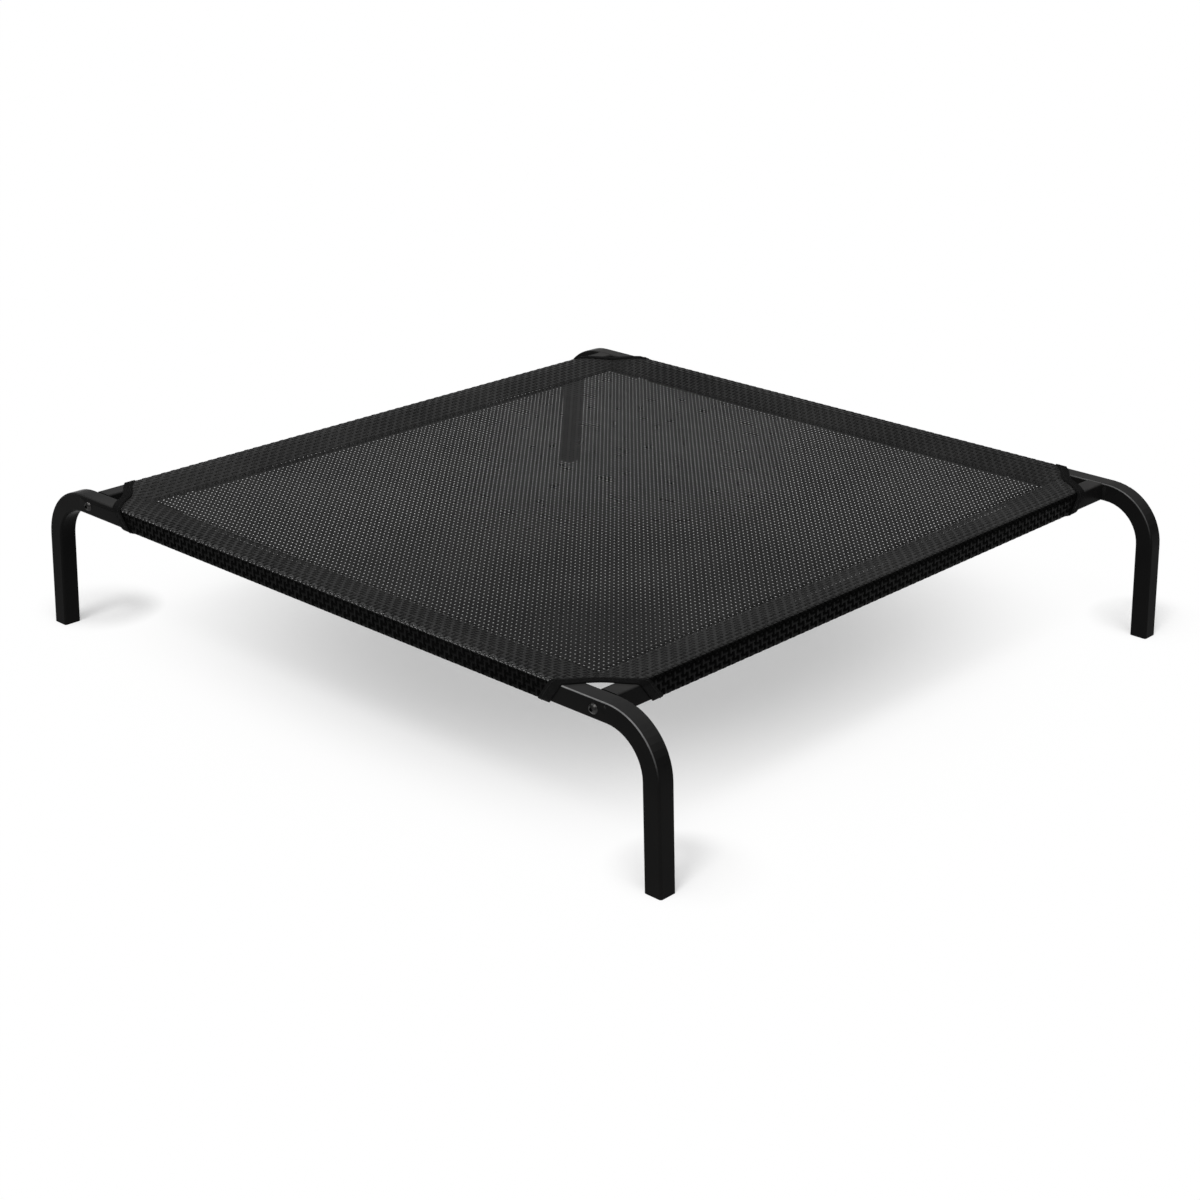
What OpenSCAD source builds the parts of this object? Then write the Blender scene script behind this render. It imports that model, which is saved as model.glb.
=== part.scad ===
// Raised dog cot: two bent square-tube leg frames, two side rails bolted between them,
// and a tight mesh cover that slides over all four top tubes in sewn sleeves.
// Millimetres. +Z is up, the feet stand on z = 0, and the origin is under the middle of the deck.
// The leg frames run along X, the side rails along Y.

/* [Frame] */
// Length over the feet, along X
frame_l = 900; // [600:5:1300]
// Width over the two leg frames, along Y
frame_w = 830; // [500:5:1200]
// Height of the top of the tubes above the floor
frame_h = 165; // [140:1:300]
// Outward lean of each leg, in degrees
leg_splay = 2.8; // [0:0.1:6]
// Radius of the bend between a leg and its top bar, at the middle of the tube
bend_r = 52.5; // [40:0.5:80]
// Straight part of the top bar between a bend and the side rail
rail_gap = 4.4; // [1:0.1:30]

/* [Tube] */
// Outer width of the square tube
tube_w = 20; // [16:0.5:26]
// Wall thickness of the tube
tube_wall = 1.2; // [0.8:0.1:2]
// Outer corner radius of the tube
tube_r = 2.5; // [2.2:0.1:4]

/* [Bolts] */
// Shank diameter of the corner bolts
bolt_d = 6; // [5:0.5:8]
// Shank length under the head
bolt_len = 40; // [32:1:60]
// Head diameter
head_d = 10.5; // [9:0.5:14]
// Head height
head_h = 3.3; // [2.5:0.1:5]
// Hexagon socket, across the flats
socket_af = 4; // [3:0.5:5]
// Depth of the hexagon socket
socket_depth = 2; // [1:0.1:2.4]
// Extra diameter of the bolt holes through the leg frames
bolt_play = 0.6; // [0.2:0.1:1.5]
// Space between the bolt and the tapped hole that holds it
thread_fit = 0.1; // [0.05:0.05:0.2]

/* [Plugs] */
// Length of the tapped plug in each end of a side rail
nut_plug_len = 24; // [15:1:40]
// Height of the ribbed plug in the foot of each leg
foot_plug_h = 18; // [12:1:40]
// Thickness of the foot plug's floor
foot_plug_floor = 3; // [2:0.5:6]
// Wall of the foot plug
foot_plug_wall = 2; // [1.2:0.1:3]
// How far the foot plug's ribs stand out from its wall
foot_rib = 0.5; // [0.3:0.1:1]
// Number of ribs round the foot plug
foot_ribs = 4; // [2:1:6]
// Space between a plug and the inside of the tube
plug_fit = 0.1; // [0.05:0.05:0.3]

/* [Cover] */
// Thickness of the mesh cloth
cloth_t = 0.9; // [0.5:0.1:2]
// Space between the cloth and the tube inside it
cloth_gap = 0.3; // [0.2:0.1:1]
// Depth of a sleeve, from the outer face of its tube to the hem seam
sleeve_depth = 56; // [40:1:90]
// Drop from the top of the tubes to the deck
deck_drop = 7; // [2:0.5:10]
// Length cut off each side of the cover at a corner, where its top begins to round over
corner_cut = 48; // [40:1:70]
// Space left where two panels of the cover are sewn together
seam_gap = 0.2; // [0.1:0.1:0.5]
// Openings across the deck each way, which stand for the far finer mesh
deck_gaps = 12; // [4:1:12]
// Part of the spacing of the openings that each one takes up, each way
gap_share = 0.27; // [0.1:0.01:0.5]

/* [Binding] */
// Width of the tape that binds each cut corner
binding_w = 10; // [6:0.5:16]
// Thickness of the tape
binding_t = 1; // [0.5:0.1:2]
// Space between the tape and the cloth under it
binding_gap = 0.1; // [0.05:0.05:0.3]

/* [Hidden] */
$fn = 64;

// Past every face that a cut has to clear
over = 1;
// Tube: inside width, inside corner radius, and the height and width of the top bars' middle
bore_w = tube_w - 2 * tube_wall;
bore_r = tube_r - tube_wall;
bar_z = frame_h - tube_w / 2;
bar_y = frame_w / 2 - tube_w / 2;
// Bend: its outer radius, its centre, and the point where the leg leaves it
bend_out = bend_r + tube_w / 2;
bend_z = frame_h - bend_out;
leg_len = (bend_z + bend_out * sin(leg_splay)) / cos(leg_splay);
bend_x = frame_l / 2 - leg_len * sin(leg_splay) - bend_out * cos(leg_splay);
// Middle of a side rail, and its length between the leg frames
rail_x = bend_x - rail_gap - tube_w / 2;
rail_len = frame_w - 2 * tube_w;
// Plugs: outer width of what slides into the tube, with its corner radius
plug_w = bore_w - 2 * plug_fit;
plug_r = bore_r - plug_fit;
// Spherical dome of the bolt head
dome_r = (head_h * head_h + head_d * head_d / 4) / (2 * head_h);
// Cover: how far the cloth stands off the tube, the sleeve's corner radii and the hem seam's place
// seen along the tube, counted from the middle of the tube, inwards and up
cloth_out = cloth_gap + cloth_t;
seam_u = sleeve_depth - tube_w / 2;
seam_v = tube_w / 2 - deck_drop;
deck_z = bar_z + seam_v;
// Half sizes of the whole cover over its sleeves
cover_x = rail_x + tube_w / 2 + cloth_out;
cover_y = frame_w / 2 + cloth_out;
// A sleeve's height over the cloth, and its round edges
sleeve_h = tube_w + 2 * cloth_out;
edge_r = tube_r + cloth_out;
// Reach of the shapes that cut a sleeve, and the overlap of those that meet
reach = 2 * (sleeve_depth + sleeve_h);
reach_x = max(cover_x, cover_y) + reach;
lap = cloth_gap;
// How far the flat sides of a sleeve are set into its round edges, so that they cross
tuck = 0.02;
// The deck between the hem seams
deck_edge = cloth_t + seam_gap;
deck_l = 2 * (rail_x - seam_u - deck_edge);
deck_w = 2 * (bar_y - seam_u - deck_edge);

// Square with round corners, in the plane
module round_square(size, r) {
    flat = size - 2 * r;
    square([size, flat], center = true);
    square([flat, size], center = true);
    for (x = [-flat / 2, flat / 2])
        for (y = [-flat / 2, flat / 2])
            translate([x, y])
                circle(r);
}

// Half of a leg frame's path, filled with one section: the top bar, the bend and the leg
module half_frame_path(size, r) {
    translate([0, 0, bar_z])
        rotate([90, 0, 90])
            linear_extrude(height = bend_x)
                round_square(size, r);
    translate([bend_x, 0, bend_z])
        rotate([90, 0, 0]) {
            rotate([0, 0, leg_splay])
                rotate_extrude(angle = 90 - leg_splay)
                    translate([bend_r, 0])
                        round_square(size, r);
            rotate([90, 0, leg_splay])
                translate([bend_r, 0, 0])
                    linear_extrude(height = leg_len + tube_w)
                        round_square(size, r);
        }
}

// Both halves of that path
module frame_path(size, r) {
    half_frame_path(size, r);
    mirror([1, 0, 0])
        half_frame_path(size, r);
}

// One bent tube, sawn off level with the floor and drilled for its two bolts
module leg_frame() {
    difference() {
        frame_path(tube_w, tube_r);
        frame_path(bore_w, bore_r);
        translate([-frame_l, -tube_w, -2 * tube_w])
            cube([2 * frame_l, 2 * tube_w, 2 * tube_w]);
        for (x = [-rail_x, rail_x])
            translate([x, 0, bar_z])
                rotate([90, 0, 0])
                    cylinder(d = bolt_d + bolt_play, h = tube_w + 2 * over, center = true);
    }
}

module leg_frame_front() {
    color("#17181a")
        translate([0, -bar_y, 0])
            leg_frame();
}

module leg_frame_rear() {
    color("#17181a")
        translate([0, bar_y, 0])
            leg_frame();
}

// Straight tube between the leg frames
module side_rail(x) {
    color("#17181a")
        translate([x, 0, bar_z])
            rotate([90, 0, 0])
                linear_extrude(height = rail_len, center = true)
                    difference() {
                        round_square(tube_w, tube_r);
                        round_square(bore_w, bore_r);
                    }
}

// Puts a piece made for the front right corner at another corner
module at_corner(side_x, side_y) {
    mirror([side_x < 0 ? 1 : 0, 0, 0])
        mirror([0, side_y > 0 ? 1 : 0, 0])
            children();
}

// Tapped steel plug, flush with the end of a side rail
module nut_plug() {
    color("#8d9196")
        translate([rail_x, -rail_len / 2, bar_z])
            rotate([-90, 0, 0])
                difference() {
                    linear_extrude(height = nut_plug_len)
                        round_square(plug_w, plug_r);
                    translate([0, 0, -over])
                        cylinder(d = bolt_d + 2 * thread_fit, h = nut_plug_len + 2 * over);
                }
}

// Button-head bolt, through the leg frame and into the tapped plug
module corner_bolt() {
    color("#26272a")
        translate([rail_x, -frame_w / 2, bar_z])
            rotate([-90, 0, 0])
                difference() {
                    union() {
                        cylinder(d = bolt_d, h = bolt_len);
                        intersection() {
                            translate([0, 0, dome_r - head_h])
                                sphere(dome_r);
                            translate([0, 0, -head_h])
                                cylinder(d = head_d, h = head_h);
                        }
                    }
                    translate([0, 0, -head_h - over])
                        cylinder(d = socket_af / cos(30), h = socket_depth + over, $fn = 6);
                }
}

// Ribbed plastic plug pushed into the foot of a leg, level with the floor
module foot_plug() {
    wall_w = plug_w - 2 * foot_rib;
    wall_r = max(plug_r - foot_rib, 0.2);
    rib_pitch = foot_plug_h / foot_ribs;
    color("#101011")
        difference() {
            translate([frame_l / 2 - tube_w / 2 / cos(leg_splay), -bar_y, 0])
                rotate([0, -leg_splay, 0])
                    difference() {
                        union() {
                            translate([0, 0, -tube_w])
                                linear_extrude(height = tube_w + foot_plug_h)
                                    round_square(wall_w, wall_r);
                            for (i = [0 : foot_ribs - 1])
                                translate([0, 0, i * rib_pitch + rib_pitch / 4])
                                    linear_extrude(height = rib_pitch / 2)
                                        round_square(plug_w, plug_r);
                        }
                        translate([0, 0, foot_plug_floor])
                            linear_extrude(height = foot_plug_h)
                                round_square(wall_w - 2 * foot_plug_wall, 1);
                    }
            translate([0, -frame_w, -2 * tube_w])
                cube([frame_l, frame_w, 2 * tube_w]);
        }
}

// Rounded square grown by a skin, drawn in to the hem seam on its inner side
// The two straight sides of the taper join the round corners to the round seam
module sleeve_outline(skin, seam_r) {
    corner = tube_w / 2 - tube_r;
    corner_r = tube_r + skin;
    corner_side = corner_r - tuck;
    seam_side = max(seam_r - tuck, 0);
    run_top = [seam_u - corner, seam_v - corner];
    run_under = [seam_u - corner, seam_v + corner];
    turn_top = atan2(run_top[1], run_top[0]) + acos((corner_side - seam_side) / norm(run_top));
    turn_under = atan2(run_under[1], run_under[0]) - acos((corner_side - seam_side) / norm(run_under));
    out_top = [cos(turn_top), sin(turn_top)];
    out_under = [cos(turn_under), sin(turn_under)];
    round_square(tube_w + 2 * skin, corner_r);
    polygon([
        [0, 0],
        [corner, -corner],
        [corner, -corner] + corner_side * out_under,
        [seam_u, seam_v] + seam_side * out_under,
        [seam_u, seam_v],
        [seam_u, seam_v] + seam_side * out_top,
        [corner, corner] + corner_side * out_top,
        [corner, corner]
    ]);
    if (seam_r > 0)
        translate([seam_u, seam_v])
            circle(seam_r);
}

// Closed skin round a tube, between two distances from it
module sleeve_skin(inner, outer) {
    difference() {
        sleeve_outline(outer, outer - cloth_gap);
        sleeve_outline(inner, inner - cloth_gap);
    }
}

// A sleeve's section drawn along X, at a distance from the middle of the cot on its -Y side
module along_sleeve(distance, half_len) {
    translate([0, -distance, bar_z])
        rotate([90, 0, 90])
            linear_extrude(height = 2 * half_len, center = true)
                children();
}

// The space round a sleeve above the line from the middle of its outer wall to the hem seam
module upper_half(distance) {
    along_sleeve(distance, reach_x)
        polygon([
            [-reach, -lap],
            [0, -lap],
            [seam_u, seam_v - lap],
            [reach, seam_v - lap],
            [reach, reach],
            [-reach, reach]
        ]);
}

// The space below that line
module lower_half(distance) {
    along_sleeve(distance, reach_x)
        polygon([
            [-reach, 0],
            [0, 0],
            [seam_u, seam_v],
            [reach, seam_v],
            [reach, -reach],
            [-reach, -reach]
        ]);
}

// Takes a shape along the slanting cut at the +X end of a sleeve that meets another at corner_x
// The cut comes up the outer wall at 45 degrees, and the shape is drawn square to it there:
// across the cut towards the corner, then inwards from where the top begins to round over
module along_cut(distance, corner_x) {
    translate([corner_x - corner_cut, edge_r - distance - sleeve_h / 2, bar_z + sleeve_h / 2])
        rotate([0, 45, 0])
            linear_extrude(height = 4 * reach, center = true)
                children();
}

// How far the cut moves across for a distance inwards, at 45 degrees over the top or underneath
function slant(inwards) = inwards / sqrt(2);

// What lies past the cut, which runs on towards the corner over the top and away from it underneath,
// and what lies past the mitre with the next sleeve
module past_end(distance, corner_x) {
    intersection() {
        upper_half(distance);
        along_cut(distance, corner_x)
            polygon([[0, -reach], [0, 0], [slant(reach), reach], [2 * reach, reach], [2 * reach, -reach]]);
    }
    intersection() {
        lower_half(distance);
        along_cut(distance, corner_x)
            polygon([[0, -reach], [0, 0], [-slant(reach), reach], [2 * reach, reach], [2 * reach, -reach]]);
    }
    translate([corner_x - seam_gap / 2, -distance - sleeve_h / 2, bar_z - reach])
        linear_extrude(height = 2 * reach)
            polygon([[reach, -reach], [-reach, reach], [reach, reach]]);
}

// The strip of a sleeve just inside the cut, which the binding tape covers
// Over the top it runs past the mitre, into the strip of the next sleeve
module tape_strip(distance, corner_x) {
    top_end = corner_cut / 2 + binding_w;
    intersection() {
        upper_half(distance);
        along_cut(distance, corner_x)
            polygon([
                [0, -reach],
                [0, 0],
                [slant(top_end), top_end],
                [slant(top_end) - binding_w, top_end],
                [-binding_w, 0],
                [-binding_w, -reach]
            ]);
    }
    intersection() {
        lower_half(distance);
        along_cut(distance, corner_x)
            polygon([
                [0, -reach],
                [0, 0],
                [-slant(reach), reach],
                [-slant(reach) - binding_w, reach],
                [-binding_w, 0],
                [-binding_w, -reach]
            ]);
    }
}

// One sleeve with both ends cut, made on the -Y side
module sleeve(distance, corner_x) {
    color("#232425")
        difference() {
            along_sleeve(distance, corner_x)
                sleeve_skin(cloth_gap, cloth_out);
            past_end(distance, corner_x);
            mirror([1, 0, 0])
                past_end(distance, corner_x);
        }
}

module sleeve_front() {
    sleeve(bar_y, cover_x);
}

module sleeve_rear() {
    rotate([0, 0, 180])
        sleeve(bar_y, cover_x);
}

module sleeve_right() {
    rotate([0, 0, 90])
        sleeve(rail_x, cover_y);
}

module sleeve_left() {
    rotate([0, 0, -90])
        sleeve(rail_x, cover_y);
}

// Flat mesh panel between the four hem seams, with a plain grid of openings
module mesh_deck() {
    pitch = [deck_l, deck_w] / deck_gaps;
    middle = (deck_gaps - 1) / 2;
    color("#2b2c2d")
        translate([0, 0, deck_z])
            linear_extrude(height = cloth_t, center = true)
                difference() {
                    square([deck_l, deck_w], center = true);
                    for (i = [0 : deck_gaps - 1])
                        for (j = [0 : deck_gaps - 1])
                            translate([(i - middle) * pitch[0], (j - middle) * pitch[1]])
                                square(gap_share * pitch, center = true);
                }
}

// Turns what is made for the front sleeve into its match on the right sleeve, at the front right corner
module on_right_sleeve() {
    rotate([0, 0, 90])
        mirror([1, 0, 0])
            children();
}

// Both sleeves of the front right corner, filled in and grown by a skin, so that they meet in a mitre
module filled_corner(skin) {
    along_sleeve(bar_y, cover_x)
        sleeve_outline(skin, skin - cloth_gap);
    on_right_sleeve()
        along_sleeve(rail_x, cover_y)
            sleeve_outline(skin, skin - cloth_gap);
}

// The tape at the front right corner, from under one sleeve to under the next
module corner_binding() {
    inner = cloth_out + binding_gap;
    color("#0c0c0d")
        intersection() {
            difference() {
                filled_corner(inner + binding_t);
                filled_corner(inner);
            }
            union() {
                tape_strip(bar_y, cover_x);
                on_right_sleeve()
                    tape_strip(rail_x, cover_y);
            }
        }
}

leg_frame_front();
leg_frame_rear();
side_rail(-rail_x);  // side_rail_left
side_rail(rail_x);  // side_rail_right
at_corner(-1, -1) nut_plug();  // nut_plug_front_left
at_corner(1, -1) nut_plug();  // nut_plug_front_right
at_corner(-1, 1) nut_plug();  // nut_plug_rear_left
at_corner(1, 1) nut_plug();  // nut_plug_rear_right
at_corner(-1, -1) corner_bolt();  // corner_bolt_front_left
at_corner(1, -1) corner_bolt();  // corner_bolt_front_right
at_corner(-1, 1) corner_bolt();  // corner_bolt_rear_left
at_corner(1, 1) corner_bolt();  // corner_bolt_rear_right
at_corner(-1, -1) foot_plug();  // foot_plug_front_left
at_corner(1, -1) foot_plug();  // foot_plug_front_right
at_corner(-1, 1) foot_plug();  // foot_plug_rear_left
at_corner(1, 1) foot_plug();  // foot_plug_rear_right
mesh_deck();
sleeve_front();
sleeve_rear();
sleeve_left();
sleeve_right();
at_corner(-1, -1) corner_binding();  // corner_binding_front_left
at_corner(1, -1) corner_binding();  // corner_binding_front_right
at_corner(-1, 1) corner_binding();  // corner_binding_rear_left
at_corner(1, 1) corner_binding();  // corner_binding_rear_right
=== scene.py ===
import math

import bpy
import numpy as np
from mathutils import Matrix, Vector


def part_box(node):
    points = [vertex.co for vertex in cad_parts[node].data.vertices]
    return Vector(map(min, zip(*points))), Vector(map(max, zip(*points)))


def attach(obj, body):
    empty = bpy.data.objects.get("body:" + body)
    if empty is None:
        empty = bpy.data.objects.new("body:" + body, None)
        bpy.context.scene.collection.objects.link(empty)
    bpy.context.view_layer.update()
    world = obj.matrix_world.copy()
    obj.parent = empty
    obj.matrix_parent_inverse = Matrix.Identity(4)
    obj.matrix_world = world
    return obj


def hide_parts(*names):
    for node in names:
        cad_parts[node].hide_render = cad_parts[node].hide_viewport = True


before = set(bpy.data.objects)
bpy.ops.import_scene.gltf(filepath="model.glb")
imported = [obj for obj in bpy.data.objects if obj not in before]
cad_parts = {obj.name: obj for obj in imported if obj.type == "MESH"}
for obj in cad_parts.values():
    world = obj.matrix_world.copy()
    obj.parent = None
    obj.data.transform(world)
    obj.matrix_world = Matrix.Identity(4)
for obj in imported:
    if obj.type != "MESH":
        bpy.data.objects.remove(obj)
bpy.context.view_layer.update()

MM = 0.001

# Sizes that the frame gives
rail_low, rail_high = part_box("side_rail_right")
deck_low, deck_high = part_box("mesh_deck")
TUBE_W = rail_high[2] - rail_low[2]
RAIL_X = (rail_low[0] + rail_high[0]) / 2
BAR_Z = (rail_low[2] + rail_high[2]) / 2
DECK_Z = (deck_low[2] + deck_high[2]) / 2
COVER_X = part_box("sleeve_right")[1][0]
COVER_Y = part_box("sleeve_rear")[1][1]
OVERHANG = COVER_X - RAIL_X
BAR_Y = COVER_Y - OVERHANG

# Sizes repeated from the part's source
TUBE_R = 2.5 * MM
SLEEVE_DEPTH = 56 * MM
CORNER_CUT = 48 * MM

# The middle of the cloth lies this far off the tube, and bends round its edges at this radius
CLOTH_OFF = 0.75 * MM
CORNER = TUBE_W / 2 - TUBE_R
MID_R = TUBE_R + CLOTH_OFF

# The hem seam, measured from the middle of a top tube: inwards, then up
SEAM_U = SLEEVE_DEPTH - TUBE_W / 2
SEAM_V = DECK_Z - BAR_Z
UNDER_LAP = 0.9 * MM

# Where the cloth starts to bend down over the tubes
EDGE_X = RAIL_X + CORNER
EDGE_Y = BAR_Y + CORNER

# The corners of the cover, with their sides
CORNERS = {
    "front_right": (1, -1),
    "front_left": (-1, -1),
    "rear_right": (1, 1),
    "rear_left": (-1, 1),
}

# Each cut edge runs this far from its middle, along X or Y, before it bends down over a tube
CUT_HALF = CORNER_CUT - OVERHANG + CORNER

# A cut edge bows inwards on top and runs steeper down the tubes, and some are pulled further in
CUT_BOW = 4 * MM
CUT_STEEP = 0.75
CUT_PULL = {
    "front_right": 0.5 * MM,
    "front_left": 5 * MM,
    "rear_right": 8 * MM,
    "rear_left": 5 * MM,
}

# Near its cut corners the cover is drawn up level with the tubes, over this distance
CORNER_LIFT = 30 * MM

# The plain weave: yarns of one width cross one over, one under
PITCH_X = 5.84 * MM
PITCH_Y = 6.39 * MM
YARN_SHARE = 0.735
YARN_T = 0.26 * MM
CRIMP = 0.6 * YARN_T
CUT_MARGIN = 1.0 * MM

# The flaps under the hem are sewn off line by this share of the pitch.
# So their openings lie under yarns, and the hem is hard to see through
FLAP_SLIP = 0.5

# A second layer sewn under each corner: its shift, as a share of the pitch, its depth,
# where it starts off the tubes and the cut edge, and its reach.
# Past PATCH_FULL it stays clear of the flap that comes up to the seam there
PATCH_SHIFT = 0.5
PATCH_DROP = 1.05 * MM
PATCH_OFF_TUBE = 1.6 * MM
PATCH_OFF_CUT = 3 * MM
PATCH_OFF_FLAP = 4 * MM
PATCH_FULL = 90 * MM
PATCH_REACH = 135 * MM

# The folded binding tape: its width, its offsets from the middle of the cloth that it grips,
# the step along it, and the points across it and round its folded edge
TAPE_W = 9 * MM
TAPE_OUT = 1.1 * MM
TAPE_GRIP = 0.34 * MM
TAPE_UNDER = 0.66 * MM
TAPE_STEP = 1.5 * MM
TAPE_POINTS = 9
NOSE_POINTS = 7

# Sewing thread. A stitch rises out of the cloth and goes back into it
THREAD_R = 0.26 * MM
THREAD_SIDES = 6
HEM_PITCH = 4.2 * MM
TAPE_PITCH = 3.6 * MM
STITCH_LEN = 3.3 * MM
STITCH_SPREAD = np.array([-0.5, -0.36, 0, 0.36, 0.5]) * STITCH_LEN
STITCH_RISE = np.array([-0.5, 0.12, 0.26, 0.12, -0.5]) * MM

# Points round a full bend of the cloth over a tube's edge, and round the bends that end at the seam.
# TOP_START is the number of the point where the cloth comes onto the top of the tube
BEND_STEPS = 7
END_STEPS = 3
TOP_START = END_STEPS + 2 * BEND_STEPS


def arc(u, v, start, end, count):
    """Points on the bend round one edge of the tube, with their outward normals."""
    angle = np.radians(np.linspace(start, end, count))
    out = np.stack([np.cos(angle), np.sin(angle)], 1)
    return np.array([u, v]) + MID_R * out, out


def tangent_angle(u, v, seam_v, side):
    """Angle, in degrees, where the cloth leaves a bend for the hem seam."""
    run = np.array([SEAM_U - u, seam_v - v])
    length = math.hypot(*run)
    return math.degrees(math.atan2(run[1], run[0]) + side * math.acos(MID_R / length))


def sleeve_section():
    """The cloth's path across a top tube: from the flap's sewn end, round the tube, to the deck.

    The first column is the flat distance. On the top it is the plan distance from the tube's
    middle, and past the outer edge it goes on along the cloth.
    """
    c = CORNER
    over = tangent_angle(c, c, SEAM_V, 1)
    under = tangent_angle(c, -c, SEAM_V - UNDER_LAP, -1)
    bends = [
        arc(c, -c, under, -90, END_STEPS),
        arc(-c, -c, -90, -180, BEND_STEPS),
        arc(-c, c, 180, 90, BEND_STEPS),
        arc(c, c, 90, over, END_STEPS),
    ]
    sewn = [SEAM_U, SEAM_V - UNDER_LAP]
    seam = [SEAM_U, SEAM_V]
    middle = [BAR_Y, SEAM_V]
    points = np.concatenate([[sewn], *[b[0] for b in bends], [seam, middle]])
    normals = np.concatenate([bends[0][1][:1], *[b[1] for b in bends], [[0, 1], [0, 1]]])
    step = np.linalg.norm(np.diff(points, axis=0), axis=1)
    along = np.concatenate([[0], np.cumsum(step)])
    before_top = np.arange(len(points)) < TOP_START
    flat = np.where(before_top, along - along[TOP_START] - c, points[:, 0])
    return np.column_stack([flat, points, normals])


SECTION = sleeve_section()
FLAP_END = SECTION[0, 0]
BENDS = SECTION[1:TOP_START + 1, 0]

# Where the yarns are polished: from just before the outer edge, round this share of its bend
ROLL_BEFORE = 1.5 * MM
ROLL_SHARE = 0.7
ROLL_START = -CORNER + ROLL_BEFORE
ROLL_END = -CORNER - ROLL_SHARE * MID_R * math.pi / 2

# The flat cover reaches this far from its middle
FLAT_X = RAIL_X - FLAP_END
FLAT_Y = BAR_Y - FLAP_END


def across(t):
    """Place and outward normal of the cloth at flat distance t from the middle of a top tube."""
    return [np.interp(t, SECTION[:, 0], SECTION[:, k]) for k in range(1, 5)]


def cut_bow(along):
    """How far a cut edge bows inwards. along is 0 at its middle."""
    share = np.clip(along / CUT_HALF, -1, 1)
    return CUT_BOW * (1 - share ** 2) ** 2


def cut_gap(x, y):
    """How far a place on the flat cover lies inwards of the cut edge of its corner."""
    past = [np.abs(x) - EDGE_X, np.abs(y) - EDGE_Y]
    past_x, past_y = [np.where(p > 0, p * CUT_STEEP, p) for p in past]
    pull = 0
    for corner, (side_x, side_y) in CORNERS.items():
        pull = pull + CUT_PULL[corner] * ((np.sign(x) == side_x) & (np.sign(y) == side_y))
    return (-CUT_HALF - past_x - past_y) / math.sqrt(2) - pull - cut_bow(past_x - past_y)


def cut_line(corner, along, inwards):
    """A place on the flat cover: along the cut edge of a corner, then inwards from it."""
    past = -CUT_HALF - (inwards + CUT_PULL[corner] + cut_bow(along)) * math.sqrt(2)
    parts = (past + along) / 2, (past - along) / 2
    past_x, past_y = [np.where(p > 0, p / CUT_STEEP, p) for p in parts]
    side_x, side_y = CORNERS[corner]
    return side_x * (EDGE_X + past_x), side_y * (EDGE_Y + past_y)


def turned(t):
    """How far round a tube the cloth has gone: 0 where it bends down, 1 where its flap leaves."""
    return np.clip((-CORNER - t) / (-CORNER - BENDS[0]), 0, 1)


def fold(x, y):
    """Folds points of the flat cover round the frame. Returns their places and outward normals."""
    x, y = np.broadcast_arrays(np.asarray(x, float), np.asarray(y, float))
    side_x, side_y = np.sign(x), np.sign(y)
    tx, ty = RAIL_X - np.abs(x), BAR_Y - np.abs(y)
    ux, vx, nux, nvx = across(tx)
    uy, vy, nuy, nvy = across(ty)
    by_x = tx < ty
    height = np.where(by_x, vx, vy)
    drawn = np.clip(1 - cut_gap(x, y) / CORNER_LIFT, 0, 1)
    drawn = np.where(np.minimum(tx, ty) > -CORNER, drawn * drawn * (3 - 2 * drawn), 0)
    slip_x = np.where(by_x, 0, FLAP_SLIP * PITCH_X * turned(ty))
    slip_y = np.where(by_x, FLAP_SLIP * PITCH_Y * turned(tx), 0)
    place = np.stack([
        np.where(by_x & (tx < -CORNER), side_x * (RAIL_X - ux), x) + slip_x,
        np.where(~by_x & (ty < -CORNER), side_y * (BAR_Y - uy), y) + slip_y,
        BAR_Z + height + (CORNER + MID_R - height) * drawn,
    ], -1)
    normal = np.stack([
        np.where(by_x, -side_x * nux, 0) * (1 - drawn),
        np.where(by_x, 0, -side_y * nuy) * (1 - drawn),
        np.where(by_x, nvx, nvy) * (1 - drawn) + drawn,
    ], -1)
    return place, normal / np.linalg.norm(normal, axis=-1, keepdims=True)


def make_object(name, verts, quads, maps=None):
    """A smooth mesh object of four-sided faces. maps holds UV layers, with one place per vertex."""
    me = bpy.data.meshes.new(name)
    me.vertices.add(len(verts))
    me.vertices.foreach_set("co", np.asarray(verts, np.float32).ravel())
    corners = quads.ravel().astype(np.int32)
    me.loops.add(len(corners))
    me.loops.foreach_set("vertex_index", corners)
    me.polygons.add(len(quads))
    me.polygons.foreach_set("loop_start", np.arange(0, len(corners), 4, dtype=np.int32))
    me.polygons.foreach_set("use_smooth", np.ones(len(quads), bool))
    for label, uv in (maps or {}).items():
        layer = me.uv_layers.new(name=label)
        layer.uv.foreach_set("vector", np.asarray(uv, np.float32)[corners].ravel())
    me.update(calc_edges=True)
    ob = bpy.data.objects.new(name, me)
    bpy.context.scene.collection.objects.link(ob)
    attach(ob, "root")
    return ob


def joined(parts):
    """Joins lists of (verts, quads, flat places) into one set of arrays."""
    first = np.cumsum([0] + [len(verts) for verts, _, _ in parts])
    verts = np.concatenate([verts for verts, _, _ in parts])
    quads = np.concatenate([quads + n for (_, quads, _), n in zip(parts, first)])
    return verts, quads, np.concatenate([flat for _, _, flat in parts])


# The woven cover
PANEL_NUMBERS = range(1, 6)
DECK, FRONT, REAR, LEFT, RIGHT = PANEL_NUMBERS
LEAST_STEP = 0.5 * MM


def panel_of(x, y):
    """Which panel of the cover a point of the flat cloth belongs to."""
    tx, ty = RAIL_X - np.abs(x), BAR_Y - np.abs(y)
    panel = np.where((ty <= SEAM_U) & (ty <= tx), np.where(y < 0, FRONT, REAR), DECK)
    return np.where((tx <= SEAM_U) & (tx < ty), np.where(x < 0, LEFT, RIGHT), panel)


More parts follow.
